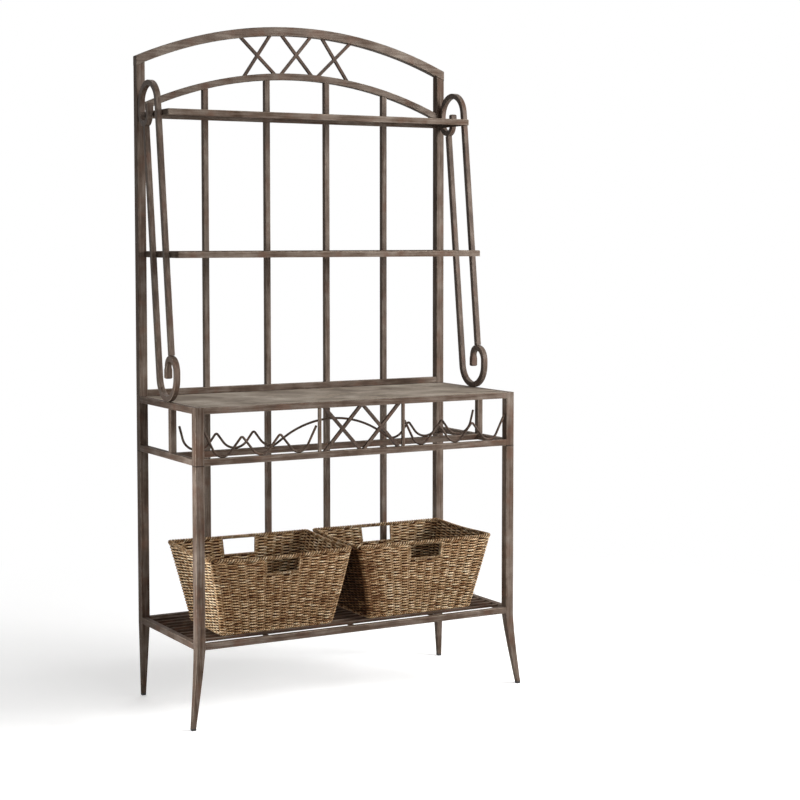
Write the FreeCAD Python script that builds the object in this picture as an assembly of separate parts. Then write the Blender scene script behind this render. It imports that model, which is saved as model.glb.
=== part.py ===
import FreeCAD, Part
import math
import os
from FreeCAD import Vector

os.makedirs("parts", exist_ok=True)

# Bakers rack: a steel table base with a wine rail and a wire shelf, an arched
# hutch standing on its back edge, and two baskets on the wire shelf.
# Millimetres, +Z up, +X to the rack's right, -Y to the front. The origin lies
# on the floor in the middle of the rack's whole footprint.

# ---- overall sizes ----
frame_width = 914.0
frame_depth = 386.0
rack_height = 1752.0
table_height = 784.0
wine_rail_height = 658.5
low_shelf_height = 208.0
mid_shelf_height = 1158.5
top_shelf_height = 1513.5
mid_shelf_depth = 222.0
top_shelf_depth = 162.5

# ---- tube and rod sizes ----
post_side = 23.0
rail_side = 16.0
bar_side = 15.0
scroll_side = 14.0
lattice_side = 8.0
tube_wall = 1.2
tube_soft = 1.6
wire_size = 6.0
mat_wire_size = 7.8

# ---- clearances ----
weld_gap = 0.3
seat_gap = 0.3
plug_gap = 0.4

# ---- how far welded pieces bite into each other, and cuts run past ----
weld_bite = 0.5
cut_past = 5.0
near = 0.01

# ---- legs ----
foot_side = 11.6
front_toe_out = 24.0
front_toe_forward = 15.0
back_toe_out = 4.0
toe_curve = 1.2
spigot_length = 30.0
glide_height = 6.0
glide_stem = 5.0

# ---- arches ----
arch_rise = 96.0
low_arch_side = 17.5
low_arch_drop = 122.0
low_arch_rise = 91.5
lattice_spacing = 120.0
lattice_half_width = 48.0
cross_inset = 5.6

# ---- back bars, counted from the middle ----
back_bar_spacing = 177.5
back_bar_count = 4

# ---- apron above the wine rail ----
apron_bar_x = 120.0
apron_cross_width = 105.0
side_bar_y = -30.0
bottle_places = 3
neck_cup = 0.26
body_cup = 0.40
crest_radius = 5.0
neck_crest = 45.0
body_crest = 38.0
wire_end_rise = 62.5
middle_crest = 61.0
middle_foot = 0.20
middle_fullness = 0.98

# ---- side scrolls, drawn in the plane of each side ----
scroll_plane_inset = 9.0
loop_radius = 56.0
curl_radius = 33.5
curl_drop = 12.5
tip_radius = 22.0
tip_length = 29.5
tip_flare = 1.25
tip_flare_length = 8.0
tip_edge = 2.5
loop_shift_y = 109.5
loop_shift_z = 679.8

# ---- table top and shelf pans ----
panel_thickness = 12.0
panel_chamfer = 2.0
ledge_width = 8.0
ledge_thickness = 2.0
pan_sheet = 1.5
pan_edge = 16.0
pan_soft = 3.0

# ---- wire mat of the lower shelf ----
mat_wire_count = 10
mat_first_space = 39.0
mat_rod_x = (-242.0, 0.0, 242.0)

# ---- baskets ----
basket_height = 200.0
basket_rim = (392.0, 300.0)
basket_base = (304.0, 216.0)
basket_wall = 9.0
basket_corner = 16.0
basket_x = 207.0
basket_y = -22.0
hand_hole = (88.0, 32.0)
hand_hole_below_rim = 12.0
hand_hole_corner = 4.0

# ---- derived frame lines ----
half_width = frame_width / 2
toe_overhang = front_toe_forward - post_side / 2 + foot_side / 2
back_y = (frame_depth + toe_overhang) / 2
front_y = back_y - frame_depth
post_x = half_width - post_side / 2
front_post_y = front_y + post_side / 2
back_post_y = back_y - post_side / 2
inner_x = half_width - post_side
rail_x = half_width - rail_side / 2
front_rail_y = front_y + rail_side / 2
back_rail_y = back_y - post_side + rail_side / 2
hutch_y = back_y - post_side
mid_rail_y = side_bar_y + back_y - frame_depth / 2
hutch_foot = table_height + weld_gap
post_foot = wine_rail_height - rail_side
taper_top = low_shelf_height - rail_side


def send(name, shape):
    """Write one piece of the rack."""
    shape.exportStep("parts/" + name + ".step")


def section(centre, u, v, side, soft):
    """Square outline with softened corners about centre, its sides along u and v."""
    half = side / 2
    flat = half - soft
    if soft <= 0:
        corners = [centre + u * (half * a) + v * (half * b)
                   for a, b in ((1, 1), (-1, 1), (-1, -1), (1, -1), (1, 1))]
        return Part.makePolygon(corners)
    edges = []
    cut = soft * (1 - math.sqrt(0.5))
    turns = ((u, v), (v, u * -1), (u * -1, v * -1), (v * -1, u))
    for a, b in turns:
        start = centre + a * half + b * flat
        middle = centre + a * (half - cut) + b * (half - cut)
        end = centre + a * flat + b * half
        edges.append(Part.Arc(start, middle, end).toShape())
        edges.append(Part.makeLine(end, centre - a * flat + b * half))
    return Part.Wire(edges)


def square_tube(start, end, side, across=Vector(0, 1, 0), wall=tube_wall):
    """Straight square tube between two points on its centre line."""
    along = end - start
    u = Vector(across).normalize()
    v = along.cross(u).normalize()
    outer = Part.Face(section(start, u, v, side, tube_soft)).extrude(along)
    bore = Part.Face(section(start, u, v, side - 2 * wall, 0)).extrude(along)
    return outer.cut(bore)


def block(x, y, z):
    """Box given by its low and high limits along each axis."""
    return Part.makeBox(x[1] - x[0], y[1] - y[0], z[1] - z[0], Vector(x[0], y[0], z[0]))


def rounded_block(x, y, z, radius, axis):
    """Box with the four edges along one axis rounded."""
    solid = block(x, y, z)
    edges = [e for e in solid.Edges if abs(e.tangentAt(e.FirstParameter).dot(axis)) > 0.9]
    return solid.makeFillet(radius, edges)


def sweep(path, profile, normal):
    """Carry a profile along a flat path, keeping it square to the path's plane."""
    pipe = Part.BRepOffsetAPI.MakePipeShell(path)
    pipe.setBiNormalMode(normal)
    pipe.add(profile)
    pipe.build()
    pipe.makeSolid()
    return pipe.shape()


# =====================================================================
# Table base
# =====================================================================

def corner_post(x, y, capped):
    """Post of the table box, closed at the top where nothing stands on it."""
    post = square_tube(Vector(x, y, post_foot), Vector(x, y, table_height), post_side)
    if capped:
        inside = post_side / 2 - tube_wall
        post = post.fuse(block((x - inside, x + inside), (y - inside, y + inside),
                               (table_height - tube_wall, table_height))).removeSplitter()
    return post


for name, y, capped in (("front", front_post_y, True), ("back", back_post_y, False)):
    for side, sign in (("left", -1), ("right", 1)):
        send("table_post_" + name + "_" + side, corner_post(sign * post_x, y, capped))


def leg_centre(sign, y, toe_out, toe_forward, t):
    """Centre of a leg's taper, from 0 under the shelf to 1 at the glide."""
    bend = t ** toe_curve
    return Vector(sign * (post_x + toe_out * bend), y - toe_forward * bend,
                  taper_top + (glide_height - taper_top) * t)


def leg(sign, y, toe_out, toe_forward):
    """Lower leg: a straight tube that tapers and sweeps outward below the shelf."""
    x = sign * post_x

    def run(side_cut, soft):
        rings = []
        for step in range(5):
            t = step / 4
            centre = leg_centre(sign, y, toe_out, toe_forward, t)
            side = post_side + (foot_side - post_side) * t - side_cut
            rings.append(section(centre, Vector(1, 0, 0), Vector(0, 1, 0), side, soft))
        taper = Part.makeLoft(rings, True, False)
        upper = Part.Face(rings[0]).extrude(Vector(0, 0, post_foot - weld_gap - taper_top))
        return upper.fuse(taper)

    shell = run(0, tube_soft).cut(run(2 * tube_wall, 0))
    plug = post_side / 2 - tube_wall - plug_gap
    root = post_side / 2 - tube_wall
    joint = post_foot - weld_gap
    spigot = block((x - plug, x + plug), (y - plug, y + plug), (joint - spigot_length,
                                                                joint + spigot_length))
    collar = block((x - root, x + root), (y - root, y + root), (joint - spigot_length, joint))
    return shell.fuse([spigot, collar]).removeSplitter()


def glide(sign, y, toe_out, toe_forward):
    """Rounded black foot closing the narrow end of a leg, its stem leaning with the leg."""
    toe = leg_centre(sign, y, toe_out, toe_forward, 1)
    half = foot_side / 2
    foot = rounded_block((toe.x - half, toe.x + half), (toe.y - half, toe.y + half),
                         (0, glide_height - weld_gap), tube_soft, Vector(0, 0, 1))
    rim = [e for e in foot.Edges if max(v.Z for v in e.Vertexes) < near]
    foot = foot.makeFillet(glide_height / 3, rim)
    lean = leg_centre(sign, y, toe_out, toe_forward,
                      1 - glide_stem / (taper_top - glide_height)) - toe
    root = toe - lean * 0.5
    outline = section(root, Vector(1, 0, 0), Vector(0, 1, 0), foot_side - 2 * (tube_wall + plug_gap), 0)
    return foot.fuse(Part.Face(outline).extrude(lean * 1.5)).removeSplitter()


glides = []
for name, y, out, forward in (("front", front_post_y, front_toe_out, front_toe_forward),
                              ("back", back_post_y, back_toe_out, 0.0)):
    for side, sign in (("left", -1), ("right", 1)):
        send("leg_" + name + "_" + side, leg(sign, y, out, forward))
        glides.append(glide(sign, y, out, forward))
send("glides", Part.makeCompound(glides))


def cross_rail(y, z_top, reach=inner_x):
    """Tube running from side to side, its top at z_top."""
    z = z_top - rail_side / 2
    return square_tube(Vector(-reach + weld_gap, y, z), Vector(reach - weld_gap, y, z), rail_side)


def side_rail(sign, z_top):
    """Tube running from the front post to the back post."""
    z = z_top - rail_side / 2
    return square_tube(Vector(sign * rail_x, front_y + post_side + weld_gap, z),
                       Vector(sign * rail_x, back_y - post_side - weld_gap, z),
                       rail_side, across=Vector(1, 0, 0))


panel_x = half_width - rail_side - weld_gap
panel_front = front_y + rail_side + weld_gap
panel_back = back_y - post_side - weld_gap
ledge_z = (table_height - panel_thickness - weld_gap - ledge_thickness,
           table_height - panel_thickness - weld_gap)

front_ledge = block((-inner_x + weld_gap, inner_x - weld_gap),
                    (front_y + rail_side - weld_bite, front_y + rail_side + ledge_width), ledge_z)
back_ledge = block((-inner_x + weld_gap, inner_x - weld_gap),
                   (hutch_y - ledge_width, hutch_y + weld_bite), ledge_z)
send("table_rail_front", cross_rail(front_rail_y, table_height).fuse(front_ledge).removeSplitter())
send("table_rail_back", cross_rail(back_rail_y, table_height).fuse(back_ledge).removeSplitter())
for side, sign in (("left", -1), ("right", 1)):
    inner_face = half_width - rail_side
    reach = sorted((sign * (inner_face + weld_bite), sign * (inner_face - ledge_width)))
    ledge = block(reach, (front_y + rail_side + ledge_width + weld_gap,
                          hutch_y - weld_gap - ledge_width), ledge_z)
    send("table_rail_" + side, side_rail(sign, table_height).fuse(ledge).removeSplitter())

panel = block((-panel_x, panel_x), (panel_front, panel_back),
              (table_height - panel_thickness, table_height))
notch = inner_x - weld_gap
for sign in (-1, 1):
    limits = sorted((sign * notch, sign * (panel_x + cut_past)))
    panel = panel.cut(block(limits, (panel_front - cut_past, front_y + post_side + weld_gap),
                            (table_height - panel_thickness - cut_past, table_height + cut_past)))
top_rim = [e for e in panel.Edges if min(v.Z for v in e.Vertexes) > table_height - near]
send("table_panel", panel.makeChamfer(panel_chamfer, top_rim))

send("wine_rail_front", cross_rail(front_rail_y, wine_rail_height))
send("wine_rail_middle", cross_rail(mid_rail_y, wine_rail_height, half_width - rail_side))
for side, sign in (("left", -1), ("right", 1)):
    send("wine_rail_" + side, side_rail(sign, wine_rail_height))
    foot = Vector(sign * rail_x, mid_rail_y, wine_rail_height + weld_gap)
    head = Vector(sign * rail_x, mid_rail_y, table_height - rail_side - weld_gap)
    send("side_bar_" + side, square_tube(foot, head, rail_side))

# ---- apron: two thin uprights with two crosses between them ----
apron_y = front_y + lattice_side / 2
apron_foot = wine_rail_height + weld_gap
apron_head = table_height - rail_side - weld_gap
for side, sign in (("left", -1), ("right", 1)):
    send("apron_bar_" + side, square_tube(Vector(sign * apron_bar_x, apron_y, apron_foot),
                                          Vector(sign * apron_bar_x, apron_y, apron_head), lattice_side))


def diagonal(start, end, side, reach):
    """Solid square rod through two points, run past both by reach."""
    along = (end - start).normalize()
    first = start - along * reach
    outline = section(first, Vector(0, 1, 0), along.cross(Vector(0, 1, 0)), side, tube_soft / 2)
    return Part.Face(outline).extrude(along * ((end - start).Length + 2 * reach))


def cross(corners, side, keep):
    """Two crossing rods welded where they meet and trimmed to the space kept."""
    a, b, c, d = corners
    rods = diagonal(a, c, side, 2 * side).fuse(diagonal(b, d, side, 2 * side))
    return rods.common(keep).removeSplitter()


for side, sign in (("left", -1), ("right", 1)):
    inner = sign * cross_inset
    outer = sign * apron_cross_width
    corners = [Vector(inner, apron_y, apron_foot), Vector(outer, apron_y, apron_foot),
               Vector(outer, apron_y, apron_head), Vector(inner, apron_y, apron_head)]
    limits = sorted((sign * weld_gap / 2, sign * (apron_bar_x - lattice_side / 2 - weld_gap)))
    keep = block(limits, (front_y - cut_past, front_y + lattice_side + cut_past),
                 (apron_foot, apron_head))
    send("apron_cross_" + side, cross(corners, lattice_side, keep))


# ---- wires that hold the bottles ----

def wave_angle(run, rise, radii):
    """Slope of the straight between two opposite arcs whose radii add up to radii."""
    slant = math.hypot(run, radii - rise)
    return math.asin(radii / slant) - math.atan2(radii - rise, run)


def wave_points(x, z, run, rise, low, high, up):
    """Path from a valley at x, z to a crest run away and rise higher."""
    angle = wave_angle(abs(run), rise, low + high)
    way = 1 if run > 0 else -1
    s, c = math.sin(angle), math.cos(angle)
    h, g = math.sin(angle / 2), math.cos(angle / 2)
    valley = [Vector(x, 0, z), Vector(x + way * low * h, 0, z + low * (1 - g)),
              Vector(x + way * low * s, 0, z + low * (1 - c))]
    crest = [Vector(x + run - way * high * s, 0, z + rise - high * (1 - c)),
             Vector(x + run - way * high * h, 0, z + rise - high * (1 - g)),
             Vector(x + run, 0, z + rise)]
    return (valley, crest) if up else (crest[::-1], valley[::-1])


def wave_edges(x, z, run, rise, low, high, up=True):
    """Edges of half a wave, climbing when up is true and falling otherwise."""
    first, last = wave_points(x, z, run, rise, low, high, up)
    edges = []
    for points in (first, last):
        if (points[0] - points[2]).Length > near:
            edges.append(Part.Arc(*points).toShape())
    edges.insert(1 if len(edges) == 2 or up else 0, Part.makeLine(first[2], last[0]))
    return edges


def wire_rod(edges, y, size):
    """Round wire bent along edges drawn in the plane of a rail."""
    path = Part.Wire(Part.__sortEdges__(edges))
    path.translate(Vector(0, y, 0))
    start = path.OrderedVertexes[0].Point
    along = path.OrderedEdges[0].tangentAt(path.OrderedEdges[0].FirstParameter)
    ring = Part.Wire(Part.makeCircle(size / 2, start, along))
    return sweep(path, ring, Vector(0, 1, 0))


cell = (inner_x - apron_bar_x - lattice_side / 2) / bottle_places
wire_z = wine_rail_height + wire_size / 2 + weld_gap
first_valley = apron_bar_x + lattice_side / 2 + cell / 2
last_valley = first_valley + (bottle_places - 1) * cell
wire_end = cell / 2 - wire_size / 2 - weld_gap
neck_radius = neck_cup * cell
body_radius = body_cup * cell
foot_radius = middle_foot * cell
middle_radius = (middle_fullness * (first_valley ** 2 + middle_crest ** 2) / (2 * middle_crest)
                 - foot_radius)


def bottle_waves(valley_radius, crest):
    """Waves between the first and the last bottle of one side."""
    edges = []
    for place in range(bottle_places - 1):
        x = first_valley + place * cell
        edges += wave_edges(x, wire_z, cell / 2, crest, valley_radius, crest_radius)
        edges += wave_edges(x + cell, wire_z, -cell / 2, crest, valley_radius, crest_radius, False)
    return edges


for side, sign in (("left", -1), ("right", 1)):
    front = bottle_waves(neck_radius, neck_crest)
    front += wave_edges(first_valley, wire_z, -wire_end, wire_end_rise, neck_radius, 0, False)
    front += wave_edges(last_valley, wire_z, wire_end, wire_end_rise, neck_radius, 0)
    rear = bottle_waves(body_radius, body_crest)
    rear += wave_edges(first_valley, wire_z, -first_valley + weld_gap / 2, middle_crest,
                       foot_radius, middle_radius, False)
    rear += wave_edges(last_valley, wire_z, wire_end, wire_end_rise, body_radius, 0)
    for name, edges, y in (("wine_wire_front_", front, front_rail_y),
                           ("wine_wire_rear_", rear, mid_rail_y)):
        rod = wire_rod(edges, y, wire_size)
        if sign < 0:
            rod = rod.mirror(Vector(0, 0, 0), Vector(1, 0, 0))
        send(name + side, rod)

# ---- lower shelf ----
send("low_shelf_rail_front", cross_rail(front_rail_y, low_shelf_height))
send("low_shelf_rail_back", cross_rail(back_rail_y, low_shelf_height))
for side, sign in (("left", -1), ("right", 1)):
    send("low_shelf_rail_" + side, side_rail(sign, low_shelf_height))

mat_reach = half_width - rail_side - weld_gap
mat_front = front_y + rail_side
mat_back = back_rail_y - rail_side / 2
mat_step = (mat_back - mat_front - mat_first_space) / mat_wire_count
mat_z = low_shelf_height - mat_wire_size / 2
mat = []
for x in mat_rod_x:
    mat.append(Part.makeCylinder(mat_wire_size / 2, mat_back - mat_front - 2 * weld_gap,
                                 Vector(x, mat_front + weld_gap, mat_z - mat_wire_size - weld_gap),
                                 Vector(0, 1, 0)))
for count in range(mat_wire_count):
    y = mat_front + mat_first_space + mat_step * count
    mat.append(Part.makeCylinder(mat_wire_size / 2, 2 * mat_reach, Vector(-mat_reach, y, mat_z),
                                 Vector(1, 0, 0)))
send("low_shelf_mat", Part.makeCompound(mat))

# ---- bars up the back ----
bar_x = [(count - (back_bar_count - 1) / 2) * back_bar_spacing for count in range(back_bar_count)]
for count, x in enumerate(bar_x):
    send("base_back_bar_" + str(count + 1),
         square_tube(Vector(x, back_rail_y, low_shelf_height + weld_gap),
                     Vector(x, back_rail_y, table_height - rail_side - weld_gap), bar_side))

# =====================================================================
# Hutch
# =====================================================================

def arc_centre(rise, reach, top):
    """Radius and centre height of an arc with the given rise over a half width."""
    radius = (reach ** 2 + rise ** 2) / (2 * rise)
    return radius, top - radius


low_arch_y = hutch_y + low_arch_side / 2
high_radius, high_centre = arc_centre(arch_rise, half_width, rack_height)
low_radius, low_centre = arc_centre(low_arch_rise, inner_x, rack_height - low_arch_drop)


def disc(radius, centre_z):
    """Drum lying across the rack, for trimming pieces to the curve of an arch."""
    return Part.makeCylinder(radius, frame_depth, Vector(0, back_y - frame_depth / 2, centre_z),
                             Vector(0, 1, 0))


def arch(radius, centre_z, side, y, reach):
    """Curved square tube cut upright at both ends."""
    pivot = Vector(0, 0, centre_z)
    up = Vector(0, 0, 1)
    middle = Vector(0, y, centre_z + radius - side / 2)
    outer = Part.Face(section(middle, Vector(0, 1, 0), up, side, tube_soft))
    bore = Part.Face(section(middle, Vector(0, 1, 0), up, side - 2 * tube_wall, 0))
    span = math.degrees(math.asin(reach / (radius - side)) + cut_past / radius)
    bends = []
    for face in (outer, bore):
        face.rotate(pivot, Vector(0, 1, 0), -span)
        bends.append(face.revolve(pivot, Vector(0, 1, 0), 2 * span))
    keep = block((-reach, reach), (y - side, y + side), (centre_z, centre_z + radius + side))
    return bends[0].cut(bends[1]).common(keep)


send("arch_upper", arch(high_radius, high_centre, post_side, back_post_y, half_width))
send("arch_lower", arch(low_radius, low_centre, low_arch_side, low_arch_y, inner_x - weld_gap))

under_high = disc(high_radius - post_side - weld_gap, high_centre)
under_low = disc(low_radius - low_arch_side - weld_gap, low_centre)
over_low = disc(low_radius + weld_gap, low_centre)

for side, sign in (("left", -1), ("right", 1)):
    x = sign * post_x
    upright = square_tube(Vector(x, back_post_y, hutch_foot),
                          Vector(x, back_post_y, rack_height), post_side).common(under_high)
    plug = post_side / 2 - tube_wall - plug_gap
    root = post_side / 2 - tube_wall
    spigot = block((x - plug, x + plug), (back_post_y - plug, back_post_y + plug),
                   (hutch_foot - spigot_length, hutch_foot + spigot_length))
    collar = block((x - root, x + root), (back_post_y - root, back_post_y + root),
                   (hutch_foot, hutch_foot + spigot_length))
    send("upright_" + side, upright.fuse([spigot, collar]).removeSplitter())

send("hutch_rail_bottom", cross_rail(back_rail_y, hutch_foot + rail_side))
for count, x in enumerate(bar_x):
    bar = square_tube(Vector(x, back_rail_y, hutch_foot + rail_side + weld_gap),
                      Vector(x, back_rail_y, rack_height), bar_side)
    send("hutch_back_bar_" + str(count + 1), bar.common(under_low))

# ---- lattice between the arches, each cross square to the curve ----
lattice_top = high_radius - post_side
lattice_bottom = low_radius + low_centre - high_centre
lattice_space = under_high.cut(over_low)
for count, name in enumerate(("left", "middle", "right")):
    lean = (count - 1) * math.asin(lattice_spacing / (high_radius - post_side))
    corners = []
    for across, height in ((-1, lattice_bottom), (1, lattice_bottom), (1, lattice_top), (-1, lattice_top)):
        x = across * (lattice_half_width - cross_inset)
        corners.append(Vector(x * math.cos(lean) + height * math.sin(lean), back_rail_y,
                              high_centre + height * math.cos(lean) - x * math.sin(lean)))
    send("lattice_cross_" + name, cross(corners, lattice_side, lattice_space))


# ---- shelves: pressed pans with turned-down edges ----

def shelf_pan(z_top, depth):
    """Sheet shelf folded down on all four sides."""
    reach = half_width - scroll_plane_inset - tip_flare * scroll_side / 2 - weld_gap
    back = hutch_y - weld_gap
    outer = block((-reach, reach), (back - depth, back), (z_top - pan_edge, z_top))
    bends = [e for e in outer.Edges
             if min(v.Z for v in e.Vertexes) > z_top - near or
             abs(e.tangentAt(e.FirstParameter).z) > 0.9]
    outer = outer.makeFillet(pan_soft, bends)
    hollow = block((-reach + pan_sheet, reach - pan_sheet), (back - depth + pan_sheet, back - pan_sheet),
                   (z_top - pan_edge - cut_past, z_top - pan_sheet))
    inner_bends = [e for e in hollow.Edges
                   if min(v.Z for v in e.Vertexes) > z_top - pan_sheet - near or
                   abs(e.tangentAt(e.FirstParameter).z) > 0.9]
    return outer.cut(hollow.makeFillet(pan_soft - pan_sheet, inner_bends))


send("shelf_middle", shelf_pan(mid_shelf_height, mid_shelf_depth))
send("shelf_top", shelf_pan(top_shelf_height, top_shelf_depth))


# ---- side scrolls: two crooked rods a side, one the other turned half round ----

def scroll_rod(x, low_loop, high_loop):
    """Rod with a straight strand, a wide crook and a curl tightening to a flared end."""
    end_point = Vector(x, low_loop.y - (loop_radius - curl_radius),
                       low_loop.z + curl_drop + curl_radius + scroll_side / 2 + weld_gap)
    chord = high_loop - end_point
    slant = math.hypot(chord.y, chord.z)
    lean = math.acos(loop_radius / slant) - math.atan2(chord.z, chord.y)
    touch = high_loop + Vector(0, -math.cos(lean), math.sin(lean)) * loop_radius

    def on_circle(centre, radius, degrees):
        a = math.radians(degrees)
        return centre + Vector(0, math.cos(a), math.sin(a)) * radius

    start_angle = 180 - math.degrees(lean)
    back = on_circle(high_loop, loop_radius, 0)
    below = back - Vector(0, 0, curl_drop)
    curl_centre = below - Vector(0, curl_radius, 0)
    curl_foot = on_circle(curl_centre, curl_radius, -90)
    tip_centre = curl_foot + Vector(0, 0, tip_radius)
    tip = tip_centre - Vector(0, tip_radius, 0)
    path = Part.Wire([
        Part.makeLine(end_point, touch),
        Part.Arc(touch, on_circle(high_loop, loop_radius, start_angle / 2), back).toShape(),
        Part.makeLine(back, below),
        Part.Arc(below, on_circle(curl_centre, curl_radius, -45), curl_foot).toShape(),
        Part.Arc(curl_foot, on_circle(tip_centre, tip_radius, -135), tip).toShape()])
    across = Vector(1, 0, 0)
    along = (touch - end_point).normalize()
    rod = sweep(path, section(end_point, across, along.cross(across), scroll_side, tube_soft), across)
    rings = []
    for rise, wide, deep in ((0, 1, 1), (tip_flare_length, tip_flare, 1),
                             (tip_length - tip_edge, tip_flare, 1),
                             (tip_length, tip_flare - 2 * tip_edge / scroll_side,
                              1 - 2 * tip_edge / scroll_side)):
        rings.append(section(tip + Vector(0, 0, rise), across * wide, Vector(0, deep, 0),
                             scroll_side, tube_soft))
    return rod.fuse(Part.makeLoft(rings, True, True)).removeSplitter()


for side, sign in (("left", -1), ("right", 1)):
    x = sign * (half_width - scroll_plane_inset)
    high_loop_y = hutch_y - weld_gap - scroll_side / 2 - loop_radius
    low_loop = Vector(x, high_loop_y - loop_shift_y,
                      table_height + weld_gap + scroll_side / 2 + loop_radius)
    high_loop = low_loop + Vector(0, loop_shift_y, loop_shift_z)
    rod = scroll_rod(x, low_loop, high_loop)
    send("scroll_front_" + side, rod)
    turned = rod.copy()
    turned.rotate((low_loop + high_loop) * 0.5, Vector(1, 0, 0), 180)
    send("scroll_back_" + side, turned)

# =====================================================================
# Baskets
# =====================================================================

def tapered_box(x, y, low, high, base, rim, corner):
    """Box that widens upward, with rounded upright corners."""
    rings = []
    for z, size in ((low, base), (high, rim)):
        outline = rounded_block((x - size[0] / 2, x + size[0] / 2), (y - size[1] / 2, y + size[1] / 2),
                                (z, z + 1), corner, Vector(0, 0, 1))
        floor = min(outline.Faces, key=lambda face: face.CenterOfMass.z)
        rings.append(floor.OuterWire)
    return Part.makeLoft(rings, True, True)


def basket(sign):
    """Open tapered basket with a hand hole in its front and back walls."""
    x, y = sign * basket_x, basket_y
    low = low_shelf_height + seat_gap
    high = low + basket_height
    outer = tapered_box(x, y, low, high, basket_base, basket_rim, basket_corner)
    lean_x = (basket_rim[0] - basket_base[0]) / basket_height
    lean_y = (basket_rim[1] - basket_base[1]) / basket_height
    inner_base = (basket_base[0] + lean_x * basket_wall - 2 * basket_wall,
                  basket_base[1] + lean_y * basket_wall - 2 * basket_wall)
    inner_rim = (basket_rim[0] + lean_x * cut_past - 2 * basket_wall,
                 basket_rim[1] + lean_y * cut_past - 2 * basket_wall)
    inside = tapered_box(x, y, low + basket_wall, high + cut_past, inner_base, inner_rim,
                         basket_corner - basket_wall / 2)
    hole_top = high - hand_hole_below_rim
    hole = rounded_block((x - hand_hole[0] / 2, x + hand_hole[0] / 2),
                         (y - basket_rim[1], y + basket_rim[1]), (hole_top - hand_hole[1], hole_top),
                         hand_hole_corner, Vector(0, 1, 0))
    return outer.cut(inside).cut(hole)


for side, sign in (("left", -1), ("right", 1)):
    send("basket_" + side, basket(sign))
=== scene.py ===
import math

import bpy
import numpy as np
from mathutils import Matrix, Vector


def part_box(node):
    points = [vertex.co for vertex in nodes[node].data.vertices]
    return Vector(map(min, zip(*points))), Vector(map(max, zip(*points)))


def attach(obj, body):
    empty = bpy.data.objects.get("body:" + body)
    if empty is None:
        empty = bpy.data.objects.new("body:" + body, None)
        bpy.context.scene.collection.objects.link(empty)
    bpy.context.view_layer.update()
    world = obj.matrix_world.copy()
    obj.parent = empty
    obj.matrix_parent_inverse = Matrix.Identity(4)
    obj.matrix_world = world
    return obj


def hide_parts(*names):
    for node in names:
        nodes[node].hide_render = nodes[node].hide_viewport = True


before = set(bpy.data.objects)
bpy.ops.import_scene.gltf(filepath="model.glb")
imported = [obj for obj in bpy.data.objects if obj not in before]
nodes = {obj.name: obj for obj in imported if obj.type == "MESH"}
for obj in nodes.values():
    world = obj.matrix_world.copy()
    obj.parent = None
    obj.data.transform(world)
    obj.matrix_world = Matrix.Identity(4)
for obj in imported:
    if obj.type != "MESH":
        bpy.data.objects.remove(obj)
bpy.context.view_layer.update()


def srgb(red, green, blue):
    """Linear RGBA of a colour given as 0-255 screen values."""
    return tuple((v / 255 / 12.92) if v <= 10 else ((v / 255 + 0.055) / 1.055) ** 2.4
                 for v in (red, green, blue)) + (1.0,)


def add_object(name, data):
    """New object holding the data, linked to the scene."""
    made = bpy.data.objects.new(name, data)
    bpy.context.scene.collection.objects.link(made)
    return made


# =====================================================================
# Materials
# =====================================================================

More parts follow.
